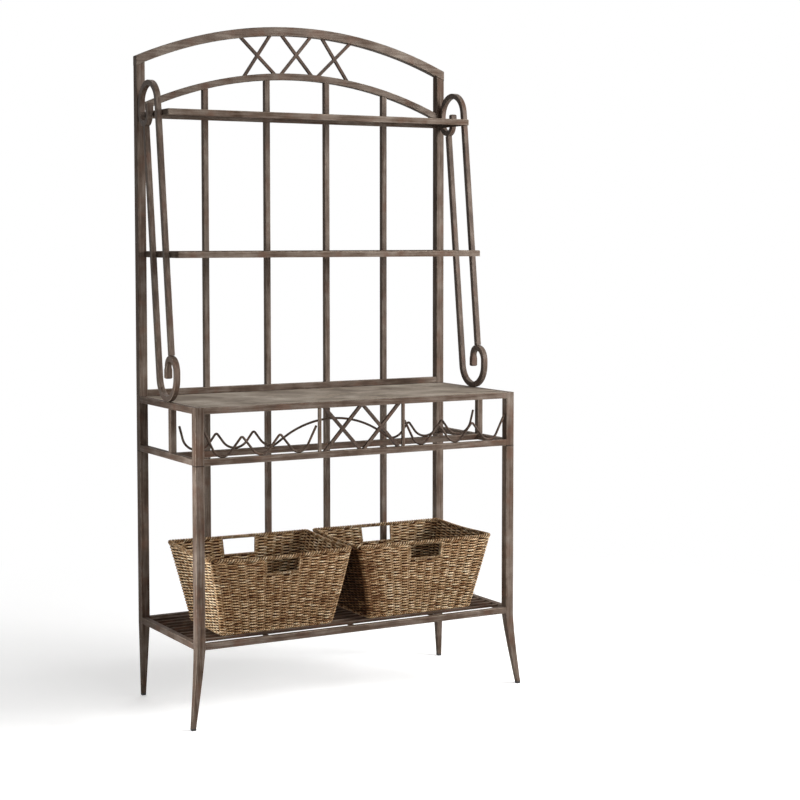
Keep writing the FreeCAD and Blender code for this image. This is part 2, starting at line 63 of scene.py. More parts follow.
class Graph:
    """Node tree of a material or a world, built from short calls."""

    def __init__(self, owner):
        owner.use_nodes = True
        self.owner = owner
        self.nodes = owner.node_tree.nodes
        self.links = owner.node_tree.links
        self.nodes.clear()

    def add(self, kind, sockets=None, **settings):
        node = self.nodes.new("ShaderNode" + kind)
        for key, value in settings.items():
            setattr(node, key, value)
        for key, value in (sockets or {}).items():
            if isinstance(value, bpy.types.NodeSocket):
                self.links.new(value, node.inputs[key])
            else:
                node.inputs[key].default_value = value
        return node

    def math(self, operation, *values):
        return self.add("Math", dict(enumerate(values)), operation=operation).outputs[0]

    def weighted(self, a, share_a, b, share_b):
        """a * share_a + b * share_b."""
        return self.math("ADD", self.math("MULTIPLY", a, share_a),
                         self.math("MULTIPLY", b, share_b))

    def coordinates(self, output="Object"):
        return self.add("TexCoord").outputs[output]

    def component(self, vector, axis):
        return self.add("SeparateXYZ", {0: vector}).outputs["xyz".index(axis)]

    def scaled(self, vector, scale):
        return self.add("Mapping", {"Vector": vector, "Scale": scale}).outputs[0]

    def noise(self, vector, scale, detail=3.0, roughness=0.55):
        return self.add("TexNoise", {"Vector": vector, "Scale": scale, "Detail": detail,
                                     "Roughness": roughness}).outputs[0]

    def blend(self, factor, a, b):
        return self.add("Mix", {0: factor, 6: a, 7: b}, data_type="RGBA").outputs[2]

    def ramp(self, factor, stops):
        node = self.add("ValToRGB", {0: factor})
        elements = node.color_ramp.elements
        while len(elements) < len(stops):
            elements.new(0.5)
        for element, (place, colour) in zip(elements, stops):
            element.position = place
            element.color = colour
        return node.outputs[0]

    def spread(self, value, low, high, to_low=0.0, to_high=1.0):
        """Value carried smoothly from low..high to to_low..to_high and held beyond."""
        return self.add("MapRange", {0: value, 1: low, 2: high, 3: to_low, 4: to_high},
                        interpolation_type="SMOOTHSTEP", clamp=True).outputs[0]

    def backdrop_rays(self):
        """1 for the camera, glossy and transmission rays that see the white backdrop, else 0."""
        path = self.add("LightPath")
        seen = path.outputs["Is Camera Ray"]
        for ray in ("Is Glossy Ray", "Is Transmission Ray"):
            seen = self.math("MAXIMUM", seen, path.outputs[ray])
        return seen

    def surface(self, colour, roughness, height, bump, distance, **fixed):
        """Finish the material; fixed are values set on the shader's own sockets."""
        normal = self.add("Bump", {"Strength": bump, "Distance": distance, "Height": height})
        shader = self.add("BsdfPrincipled", {"Base Color": colour, "Roughness": roughness,
                                             "Normal": normal.outputs[0]})
        for key, value in fixed.items():
            shader.inputs[key.replace("_", " ")].default_value = value
        self.add("OutputMaterial", {0: shader.outputs[0]})
        return self.owner


METAL_DEEP = srgb(52, 40, 33)
METAL_WORN_GLINT = srgb(170, 156, 140)
METAL_RUST = srgb(90, 63, 50)
METAL_SEAM = srgb(34, 27, 22)
METAL_STOPS = [(0.32, METAL_DEEP), (0.44, srgb(76, 62, 52)),
               (0.54, srgb(98, 86, 77)), (0.68, srgb(125, 114, 104))]
STREAK_STRETCH = 0.05


def metal(name, along=None, corner=None, seam=None, depth=0.0, gloss=0.08, up_shade=0.0):
    """Pewter bronze, finished by hand-rubbing.

    Streaks run along the axis named by along. corner names an axis across the member: where
    the normal stands halfway to it, on the rounded corners, the finish is worn paler by rubbing
    and carries a painted highlight, as if the corners caught the light. seam is the height of a
    dark joint line. depth darkens the finish everywhere, and top shifts it on the faces that
    look up: a painted shade where top is above 0, a painted light where it is below.
    """
    g = Graph(bpy.data.materials.new(name))
    place = g.coordinates()
    stretch = [STREAK_STRETCH if axis == along else 1.0 for axis in "xyz"]
    clouds = g.noise(place, 11.0, 5.0, 0.62)
    streaks = g.noise(g.scaled(place, stretch), 190.0, 4.0, 0.6)
    specks = g.noise(place, 900.0, 2.0, 0.6)
    tint = g.noise(place, 24.0, 2.0, 0.5)
    tone = g.math("ADD", g.weighted(clouds, 0.5, streaks, 0.5), -depth)
    # painted shade on the faces that look up, or painted light where the shift is below 0
    if up_shade:
        up = g.component(g.coordinates("Normal"), "z")
        tone = g.math("ADD", tone, g.spread(up, 0.6, 0.95, 0.0, -up_shade))
    colour = g.ramp(tone, METAL_STOPS)
    colour = g.blend(g.spread(tint, 0.50, 0.72, 0.0, 0.45), colour, METAL_RUST)
    grit = g.spread(specks, 0.30, 0.48, 0.45, 0.0)
    colour = g.blend(grit, colour, METAL_DEEP)
    wear_and_glint = 0.0
    if corner is not None:
        facing = g.component(g.coordinates("Normal"), corner)
        side = g.math("MULTIPLY", facing, facing)
        ridge = g.math("MULTIPLY", g.math("MULTIPLY", side, g.math("SUBTRACT", 1.0, side)), 4.0)
        wear_and_glint = g.math("MULTIPLY", g.spread(ridge, 0.45, 1.0),
                        g.spread(g.noise(place, 45.0, 4.0, 0.65), 0.38, 0.62, 0.15, 1.0))
        # paler corners: wear from rubbing, and a painted highlight where the rounded corners would
        # catch the light
        colour = g.blend(g.math("MULTIPLY", wear_and_glint, 0.70), colour, METAL_WORN_GLINT)
    if seam is not None:
        off = g.math("ABSOLUTE", g.math("SUBTRACT", g.component(place, "z"), seam))
        colour = g.blend(g.spread(off, 0.0006, 0.0018, 0.9, 0.0), colour, METAL_SEAM)
    roughness = g.math("ADD", g.math("MULTIPLY", streaks, 0.24),
                       g.math("ADD", g.math("MULTIPLY", wear_and_glint, -0.08), 0.60 - gloss))
    height = g.weighted(streaks, 0.7, specks, 0.5)
    return g.surface(colour, roughness, height, 0.22, 0.0006,
                     Metallic=0.06, Specular_IOR_Level=gloss)


MARBLE_STOPS = [(0.28, srgb(90, 80, 69)), (0.45, srgb(124, 113, 101)),
                (0.58, srgb(151, 141, 129)), (0.74, srgb(180, 170, 156))]
MARBLE_VEINS = [  # scale, half width, strength, colour
    (4.0, 0.020, 0.55, srgb(160, 147, 131)),
    (9.0, 0.012, 0.40, srgb(64, 52, 44)),
]
MARBLE_DARK_GRAIN = srgb(66, 55, 47)
MARBLE_PALE_GRAIN = srgb(156, 144, 130)
MARBLE_CHAMFER_GLINT = srgb(206, 194, 177)


def marble(name):
    """Honed grey-brown stone with soft clouds, pale and dark veins and a painted highlight on the
    chamfer.
    """
    g = Graph(bpy.data.materials.new(name))
    place = g.coordinates()
    warp = g.add("TexNoise", {"Vector": place, "Scale": 3.5, "Detail": 4.0, "Roughness": 0.6})
    shift = g.add("VectorMath", {0: warp.outputs[1], 1: (0.5, 0.5, 0.5)}, operation="SUBTRACT")
    reach = g.add("VectorMath", {0: shift.outputs[0], 3: 0.16}, operation="SCALE")
    bent = g.add("VectorMath", {0: place, 1: reach.outputs[0]}, operation="ADD").outputs[0]
    clouds = g.noise(bent, 8.0, 9.0, 0.60)
    colour = g.ramp(clouds, MARBLE_STOPS)
    for scale, width, strength, tone in MARBLE_VEINS:
        line = g.math("ABSOLUTE", g.math("SUBTRACT", g.noise(bent, scale, 4.0, 0.55), 0.5))
        vein = g.spread(line, 0.0, width, strength, 0.0)
        breaks = g.spread(g.noise(place, 6.0, 2.0), 0.42, 0.60)
        colour = g.blend(g.math("MULTIPLY", vein, breaks), colour, tone)
    grain = g.noise(place, 420.0, 3.0, 0.7)
    colour = g.blend(g.spread(grain, 0.30, 0.46, 0.35, 0.0), colour, MARBLE_DARK_GRAIN)
    colour = g.blend(g.spread(grain, 0.58, 0.72, 0.0, 0.25), colour, MARBLE_PALE_GRAIN)
    up = g.component(g.coordinates("Normal"), "z")
    # painted highlight: the chamfer's tilted faces are coloured paler, as if they caught the light
    chamfer_glint = g.math("MULTIPLY", g.spread(up, 0.30, 0.55), g.spread(up, 0.80, 0.97, 1.0, 0.0))
    colour = g.blend(g.math("MULTIPLY", chamfer_glint, 0.75), colour, MARBLE_CHAMFER_GLINT)
    roughness = g.math("ADD", g.math("MULTIPLY", clouds, 0.16), 0.66)
    return g.surface(colour, roughness, grain, 0.08, 0.0003, Specular_IOR_Level=0.05)


PLASTIC_STOPS = [(0.35, srgb(20, 19, 18)), (0.65, srgb(38, 36, 34))]
PLASTIC_SCUFF = srgb(112, 107, 101)
SCUFF_HEIGHT = 0.003


def glide_plastic(name):
    """Black moulded plastic, scuffed grey where it meets the floor."""
    g = Graph(bpy.data.materials.new(name))
    place = g.coordinates()
    grain = g.noise(place, 1600.0, 2.0, 0.6)
    scuff = g.math("MULTIPLY", g.spread(g.component(place, "z"), 0.0, SCUFF_HEIGHT, 0.7, 0.0),
                   g.spread(g.noise(place, 420.0, 4.0, 0.7), 0.45, 0.65))
    colour = g.blend(scuff, g.ramp(grain, PLASTIC_STOPS), PLASTIC_SCUFF)
    roughness = g.spread(grain, 0.3, 0.7, 0.42, 0.62)
    return g.surface(colour, roughness, grain, 0.25, 0.0003)


SEAGRASS_STOPS = [(0.34, srgb(90, 58, 34)), (0.45, srgb(142, 104, 70)),
                  (0.56, srgb(202, 167, 126)), (0.68, srgb(248, 228, 194))]
# painted shade: dark in the grooves between the plies and along the cords' upper and lower edges
SEAGRASS_GROOVE_SHADE = srgb(40, 25, 16)
SEAGRASS_EDGE_SHADE = srgb(40, 19, 5)
PALE_SHARE = 0.16


def seagrass(name, pitch, plies, tone=0.0, edge_shade=0.0):
    """Twisted seagrass cord: plies wind round it and each length has its own colour.

    It reads the cord and lay maps of tube_mesh. The grooves between the plies are darkened as
    painted shade, and crease is how dark the cord is painted along its upper and lower edges,
    painted shade where it meets the rows above and below.
    """
    g = Graph(bpy.data.materials.new(name))
    cord = g.add("SeparateXYZ", {0: g.add("UVMap", uv_map="cord").outputs[0]}).outputs
    lay = g.add("SeparateXYZ", {0: g.add("UVMap", uv_map="lay").outputs[0]}).outputs
    run, turn, number, pale = cord[0], cord[1], lay[0], lay[1]
    phase = g.math("MULTIPLY", g.math("ADD", g.math("DIVIDE", run, pitch), turn), float(plies))
    crest = g.math("ABSOLUTE", g.math("SINE", g.math("MULTIPLY", phase, math.pi)))
    along = g.add("CombineXYZ", {0: g.math("MULTIPLY", run, 90.0),
                                 1: g.math("MULTIPLY", phase, 7.0),
                                 2: g.math("MULTIPLY", number, 40.0)}).outputs[0]
    fibres = g.noise(along, 1.0, 3.0, 0.6)
    lengths = g.add("CombineXYZ", {0: g.math("MULTIPLY", run, 34.0),
                                   1: g.math("MULTIPLY", number, 71.0)}).outputs[0]
    patches = g.noise(lengths, 1.0, 2.0, 0.6)
    # pale brings the painted light and shade of the walls into the cord's colour
    mixed = g.math("ADD", g.weighted(patches, 0.62, fibres, 0.38),
                   g.math("ADD", g.math("MULTIPLY", pale, PALE_SHARE), tone))
    colour = g.ramp(mixed, SEAGRASS_STOPS)
    # painted shade in the grooves between the plies
    colour = g.blend(g.spread(crest, 0.0, 0.50, 0.85, 0.0), colour, SEAGRASS_GROOVE_SHADE)
    edge = g.math("ABSOLUTE", g.math("SINE", g.math("MULTIPLY", turn, 2 * math.pi)))
    # painted shade along the cord's upper and lower edges, where it meets the rows above and below
    colour = g.blend(g.spread(edge, 0.45, 0.95, 0.0, edge_shade), colour, SEAGRASS_EDGE_SHADE)
    height = g.weighted(crest, 0.75, fibres, 0.30)
    roughness = g.spread(fibres, 0.3, 0.7, 0.58, 0.82)
    return g.surface(colour, roughness, height, 0.85, 0.0011, Specular_IOR_Level=0.08)


STAKE_SHADE_STOPS = [(0.35, srgb(26, 13, 5)), (0.65, srgb(54, 32, 16))]


def stake_fibre(name):
    """Flat fibre behind the weave, ribbed up the wall, coloured near black as painted shade in the
    gaps.
    """
    g = Graph(bpy.data.materials.new(name))
    ribs = g.noise(g.scaled(g.coordinates(), (1.0, 1.0, 0.08)), 420.0, 3.0, 0.6)
    return g.surface(g.ramp(ribs, STAKE_SHADE_STOPS), g.spread(ribs, 0.3, 0.7, 0.7, 0.9), ribs,
                     0.5, 0.0006, Specular_IOR_Level=0.08)


SEAM = 0.64235  # height of the joint between the table posts and the lower legs
METALS = {
    "x": metal("frame_metal_x", "x", "y", depth=0.02),
    "y": metal("frame_metal_y", "y", "x"),
    "z": metal("frame_metal_z", "z", "y"),
    "post": metal("frame_metal_post", "z", "y", seam=SEAM),
    "arch": metal("frame_metal_arch", "x", "y", depth=-0.04),
    "scroll": metal("frame_metal_scroll", "z", "x", depth=0.05, gloss=0.16),
    "wire": metal("frame_metal_wire", depth=0.11, gloss=0.14),
    # the mat's wires are darkened, with their tops painted paler: painted light from above over
    # shaded sides
    "mat": metal("frame_metal_mat", "x", depth=0.15, gloss=0.03, up_shade=-0.18),
    # the pans' tops are painted darker: painted shade
    "pan": metal("frame_metal_pan", "x", "y", depth=-0.05, gloss=0.0, up_shade=0.12),
    "bar": metal("frame_metal_bar", "z", "y", depth=-0.05),
}
MARBLE = marble("table_marble")
GLIDE = glide_plastic("glide_plastic")


def metal_for(name):
    """Metal finish of a frame node: its kind's own, or the one along its longest side."""
    if name.startswith("scroll"):
        return METALS["scroll"]
    if name.startswith(("wine_wire", "apron_cross", "lattice_cross")):
        return METALS["wire"]
    if name == "low_shelf_mat":
        return METALS["mat"]
    if name.startswith("arch"):
        return METALS["arch"]
    if name.startswith("shelf_"):
        return METALS["pan"]
    if "back_bar" in name:
        return METALS["bar"]
    if name.startswith(("leg", "table_post")):
        return METALS["post"]
    low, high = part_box(name)
    size = high - low
    return METALS["xyz"[max(range(3), key=lambda axis: size[axis])]]


def paint(node, material):
    node.data.materials.clear()
    node.data.materials.append(material)


for name, node in nodes.items():
    if name == "table_panel":
        paint(node, MARBLE)
    elif name == "glides":
        paint(node, GLIDE)
    elif not name.startswith("basket"):
        paint(node, metal_for(name))


# ---- plates closing the open ends of the upper arch ----
ARCH_WALL = 0.0012
ARCH_DEEP = 0.0244  # height of the plates' upper edge over the arch's lowest point
low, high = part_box("arch_upper")
face = high[0] - 0.0001
plates = []
for sign in (-1, 1):
    limits = ((sign * (face - ARCH_WALL), sign * face),
              (low[1] + ARCH_WALL / 2, high[1] - ARCH_WALL / 2),
              (low[2] + ARCH_WALL * 0.7, low[2] + ARCH_DEEP))
    plates += [[x, y, z] for x in limits[0] for y in limits[1] for z in limits[2]]
sides = [(0, 1, 3, 2), (4, 6, 7, 5), (0, 4, 5, 1), (2, 3, 7, 6), (0, 2, 6, 4), (1, 5, 7, 3)]
cap_mesh = bpy.data.meshes.new("arch_end_caps")
cap_mesh.from_pydata(plates, [], [[k + first for k in side[::way]]
                                  for first, way in ((0, -1), (8, 1)) for side in sides])
cap_mesh.materials.append(METALS["arch"])
caps = add_object("arch_end_caps", cap_mesh)
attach(caps, "frame")


# =====================================================================
# Tubes and ropes as meshes
# =====================================================================

def tube_mesh(name, tubes, material):
    """One piece from many tubes.

    A tube is (rings, closed, length, number, pale): rings is an array of section points
    [ring, point, xyz], length the running length at each ring, number a value of its own
    and pale the painted light or shade at each ring, paler above 0 and darker below. The cord
    map holds running length and turn, the lay map the number and that painted light, and
    the bake map a strip for each tube, with a margin to its neighbours and its two caps as
    small rounds at the strip's ends.
    """
    vertices, faces, cord, lay, strip = [], [], [], [], []
    start = 0
    longest = max(length[-1] for _, _, length, _, _ in tubes)
    for order, (rings, closed, length, number, pale) in enumerate(tubes):
        count, points = rings.shape[:2]
        vertices.append(rings.reshape(-1, 3))
        i = np.arange(count if closed else count - 1)
        j = np.arange(points)
        ii, jj = (a.ravel() for a in np.meshgrid(i, j, indexing="ij"))
        after, beside = (ii + 1) % count, (jj + 1) % points
        quads = np.stack([ii * points + jj, after * points + jj,
                          after * points + beside, ii * points + beside], 1) + start
        faces += quads.tolist()
        u = np.stack([length[ii], length[ii + 1], length[ii + 1], length[ii]], 1)
        v = np.stack([jj, jj, jj + 1, jj + 1], 1) / points
        cord.append(np.stack([u, v], 2).reshape(-1, 2))
        strip.append(np.stack([0.005 + 0.99 * u / longest,
                               (order + 0.08 + 0.84 * v) / len(tubes)], 2).reshape(-1, 2))
        bleach = [np.stack([pale[ii], pale[after], pale[after], pale[ii]], 1).ravel()]
        if not closed:
            turn = 2 * np.pi * j / points
            for ring, at_end in ((0, False), (count - 1, True)):
                cap = (np.arange(points) + ring * points + start).tolist()
                faces.append(cap if at_end else cap[::-1])
                cord.append(np.stack([np.full(points, length[ring]), j / points], 1))
                strip.append(np.stack([0.0025 + 0.995 * at_end + 0.002 * np.cos(turn),
                                       (order + 0.5 + 0.3 * np.sin(turn)) / len(tubes)], 1))
                bleach.append(np.full(points, pale[ring]))
        bleach = np.concatenate(bleach)
        lay.append(np.stack([np.full(len(bleach), number), bleach], 1))
        start += count * points
    mesh = bpy.data.meshes.new(name)
    mesh.from_pydata(np.concatenate(vertices).tolist(), [], faces)
    for map_name, values in (("cord", cord), ("lay", lay), ("OFBake", strip)):
        layer = mesh.uv_layers.new(name=map_name)
        layer.data.foreach_set("uv", np.concatenate(values).astype(np.float32).ravel())
    mesh.polygons.foreach_set("use_smooth", [True] * len(mesh.polygons))
    mesh.materials.append(material)
    return add_object(name, mesh)


def running(points, closed):
    """Running length at each point, with the way back to the first one when closed."""
    ends = np.concatenate([points, points[:1]]) if closed else points
    steps = np.linalg.norm(np.diff(ends, axis=0), axis=1)
    return np.concatenate([[0.0], np.cumsum(steps)])


STRAND_SWELL = 0.07  # share by which a strand swells and thins along its length
SWELL_WAVE = 310  # radians of that for each metre


def rope(path, closed, kind, rng, sections=8):
    """Tubes of strands laid round a path.

    path is its points and two directions across it at each of them. kind is the number of
    strands, the radius of each, the radius of the circle they lie on and the length in
    which they go round once.
    """
    points, normal, side = path
    strands, strand_radius, core_radius, lay = kind
    length = running(points, closed)
    here = length[:len(points)]
    turns = length[-1] / lay
    if closed:
        turns = max(1, round(turns))
    tubes = []
    for strand in range(strands):
        angle = 2 * np.pi * (turns * here / length[-1] + strand / strands)
        centre = (points + normal * (core_radius * np.cos(angle))[:, None]
                  + side * (core_radius * np.sin(angle))[:, None])
        # the sections turn with the strand; a single strand doesn't go round, so its own stay
        first = angle if strands > 1 else np.zeros_like(angle)
        around = first[:, None] + 2 * np.pi * np.arange(sections) / sections
        swell = strand_radius * (1 + STRAND_SWELL * np.sin(here * SWELL_WAVE + strand * 2))
        rings = (centre[:, None, :]
                 + normal[:, None, :] * (swell[:, None] * np.cos(around))[:, :, None]
                 + side[:, None, :] * (swell[:, None] * np.sin(around))[:, :, None])
        tubes.append((rings, closed, length, rng.random(), np.zeros(len(points))))
    return tubes


# =====================================================================
# Woven baskets
# =====================================================================

# Lengths are in metres. Heights are over the basket's underside, and a depth is how far a
# point stands outward of the wall's middle.
BASKET_Y = -0.022
BASKET_LOW = 0.2083
BASKET_TALL = 0.200
BASE = np.array([0.304, 0.216])
RIM = np.array([0.392, 0.300])
WALL = 0.009
CORNER = 0.016
LEAN = math.atan2((RIM[0] - BASE[0]) / 2, BASKET_TALL)

# Places round the basket are counted in bands of the weave: one for each corner, from the
# front left one at 0 to 1, then the front, the right, the back and the left wall.
LONG_BANDS, SHORT_BANDS = 14, 10
HALF_ROUND = LONG_BANDS + SHORT_BANDS + 2
BANDS = 2 * HALF_ROUND
FRONT_LEFT, FRONT_RIGHT, BACK_RIGHT, BACK_LEFT = range(4)
CORNER_SIGNS = np.array([(-1, -1), (1, -1), (1, 1), (-1, 1)])
BASE_PULL = np.array([[-0.014, -0.008], [0.001, -0.008], [0.0, 0.0], [-0.004, 0.0]])

# hand holes: middles, half width with and without the margin of their side ropes, lower edge
HOLE_FRONT = 1 + LONG_BANDS / 2
HOLE_BACK = HOLE_FRONT + HALF_ROUND
HOLE_BANDS = 1.88
HOLE_EDGE = HOLE_BANDS - 0.06
HOLE_LOW = 0.1498

# wall cords: first row, pitch of the rows, rings in a band, sides of a ring, swing in and
# out of the wall, half thickness, and half height between the stakes with what it gains
# over a stake
FIRST_ROW = 0.0050
ROW = 0.0036
CORD_RINGS, CORD_SIDES = 8, 8
CORD_SWING = 0.0026
CORD_DEEP = 0.0021
CORD_THIN, CORD_GAIN = 0.0008, 0.0018
GAIN_POWER = 0.8

# how uneven the wall cords are: a row's wave and stray in height, the spread and the wave of
# its thickness, and the limits of that
ROW_WAVE, ROW_STRAY = 0.00035, 0.0002
PLUMP_SPREAD, PLUMP_WAVE = 0.08, 0.05
PLUMP_LIMITS = (0.8, 1.15)

# floor cords: stakes that they cross, rings from one to the next, sides of a ring, swing,
# height, half width with what it gains over a stake, and the floor's distance from the edge
# of the base
FLOOR_STAKES, FLOOR_RINGS, FLOOR_SIDES = 12, 6, 6
FLOOR_SWING = 0.0022
FLOOR_HEIGHT = 0.0046
FLOOR_THIN, FLOOR_GAIN = 0.0015, 0.0012
FLOOR_INSET = 0.006

# ropes, as the kind that rope() takes, and the heights at which they lie
RIM_HALF = 0.0055
RIM_HEIGHT = BASKET_TALL - RIM_HALF - 0.0003
UNDER_RIM = BASKET_TALL - 2 * RIM_HALF
BASE_ROPE_HEIGHT = 0.0042
RIM_ROPE = (3, 0.0024, 0.0030, 0.0225)
RIM_CORE = (1, 0.0015, 0.0, 0.0175)
BASE_ROPE = (3, 0.0021, 0.0019, 0.017)
CORNER_ROPE = (3, 0.0015, 0.0013, 0.013)
HOLE_SIDE_ROPE = (3, 0.0015, 0.0014, 0.011)
HOLE_LOW_ROPE = (3, 0.0016, 0.0015, 0.011)
LOOP_ROPE = (3, 0.0012, 0.0011, 0.010)
STRAY_LAY = 0.016
CORNER_DEPTH = 0.0012
STRAY_DEPTH, STRAY_ARCH = 0.0044, 0.0035

# rings along the rim and base, a corner, the side and the lower edge of a hole, a loose
# fibre and the loop
EDGE_RINGS, CORNER_RINGS, HOLE_SIDE_RINGS, HOLE_LOW_RINGS = 700, 70, 20, 40
STRAY_RINGS, LOOP_RINGS = 14, 40

# corner ropes: the front left one, which goes with the loop, and the others
FRONT_LEFT_ROPE = 0.2
CORNER_ROPES = [1.5 + LONG_BANDS, 0.5 + HALF_ROUND, 1.5 + LONG_BANDS + HALF_ROUND]

# the small loop over the rim: its band, the direction of its plane, its radii and its rise
LOOP_BAND = 0.4
LOOP_ACROSS = (0.87, -0.49)
LOOP_RADII = (0.0052, 0.0052, 0.0060)
LOOP_RISE = 0.0035

# loose fibres: first band, height, bands that it runs over, drop, radius
STRAYS = [(0.7, 0.168, 1.35, 0.026, 0.0009)]
LOOSE_COUNT = 14
LOOSE_LEAST = (2, 0.03, 0.6, -0.010, 0.0005)
LOOSE_MOST = (BANDS - 2, 0.13, 1.6, 0.010, 0.0007)

# stakes: thickness, their columns in a band, and the columns' distance from a hole's middle
# within which they move to its edge
STAKE_THICK = 0.0012
STAKES_PER_BAND = 2
BESIDE_HOLE = (1.7, 2.3)

# the soft rim: sag of its sides and back, how its sags are rounded, bands over which its
# front left corner is drawn up, and how fast that fades down the wall
SIDE_SAG, BACK_SAG = 0.003, 0.0005
SAG_POWER = 1.3
EAR_BANDS = 0.42
EAR_POWER = 12


def round_basket(q, height, inset, pull):
    """Point and outward direction in plan, and lift, at place q round the basket.

    pull holds how far each corner of the soft rim is drawn out of its rectangle and up.
    """
    q = np.mod(q, BANDS)
    counts = [1, LONG_BANDS, 1, SHORT_BANDS] * 2
    edges = np.concatenate([[0], np.cumsum(counts)])
    part = np.clip(np.searchsorted(edges, q, "right") - 1, 0, 7)
    share = (q - edges[part]) / np.array(counts)[part]
    radius = CORNER - inset
    climb = height[..., None] / BASKET_TALL
    half = (BASE + (RIM - BASE) * climb) / 2 - CORNER
    corner = part // 2
    here = CORNER_SIGNS[corner] * half
    there = CORNER_SIGNS[(corner + 1) % 4] * half
    on_side = (part % 2 == 1)
    centre = np.where(on_side[..., None], here + (there - here) * share[..., None], here)
    angle = np.radians(180 + 90 * corner + 90 * np.where(on_side, 1.0, share))
    out = np.stack([np.cos(angle), np.sin(angle)], -1)
    point = centre + out * radius
    share_x, share_y = (np.clip(point[..., k] / (RIM[k] / 2), -1, 1) / 2 + 0.5 for k in (0, 1))
    weights = np.stack([(1 - share_x) * (1 - share_y), share_x * (1 - share_y),
                        share_x * share_y, (1 - share_x) * share_y], -1)
    moved = weights @ pull * climb ** 2
    point = point + moved[..., :2] + weights @ BASE_PULL * (1 - climb)
    return point, out, moved[..., 2]


def sag(q, dip, dip_at):
    """How far the rim hangs below its corners.

    dip is the most that the front hangs, and dip_at where along it that is, 0 to 1.
    """
    q = np.mod(q, BANDS)
    drop = np.zeros_like(q)
    for first, width, depth, peak in ((1, LONG_BANDS, dip, dip_at),
                                      (2 + LONG_BANDS, SHORT_BANDS, SIDE_SAG, 0.5),
                                      (1 + HALF_ROUND, LONG_BANDS, BACK_SAG, 0.5),
                                      (2 + LONG_BANDS + HALF_ROUND, SHORT_BANDS, SIDE_SAG, 0.5)):
        f = np.clip((q - first) / width, 0, 1)
        skew = np.where(f < peak, f / peak * 0.5, 0.5 + (f - peak) / (1 - peak) * 0.5)
        drop += depth * np.sin(np.pi * skew) ** SAG_POWER
    return drop


def ear(q, rise):
    """How far the rim is drawn up at its front left corner."""
    away = np.abs(np.mod(q - 0.5 + BANDS / 2, BANDS) - BANDS / 2)
    return rise * np.exp(-(away / EAR_BANDS) ** 2)


def painted_wall_light(q, left_back, left_front, far, front, fade):
    """Painted light and shade on the weave: paler above 0, darker below 0, 0 for the cord's own
    colour.

    left_back and left_front are the two ends of the left wall, far the right and back walls
    and front the front one. The left wall's fades out over the front's first fade bands.
    """
    q = np.mod(q, BANDS)
    along = (q - (BANDS - SHORT_BANDS)) / SHORT_BANDS
    share = np.clip(along / 0.05 + 1, 0, 1) + np.clip(1 - q / fade, 0, 1)
    left = left_back + (left_front - left_back) * np.where(q < fade, 1.0, np.clip(along, 0, 1))
    is_far = (q > LONG_BANDS + 1.5) & (q < BANDS - SHORT_BANDS - 0.5)
    rest = np.where(is_far, far, front)
    return rest + (left - rest) * np.clip(share, 0, 1)


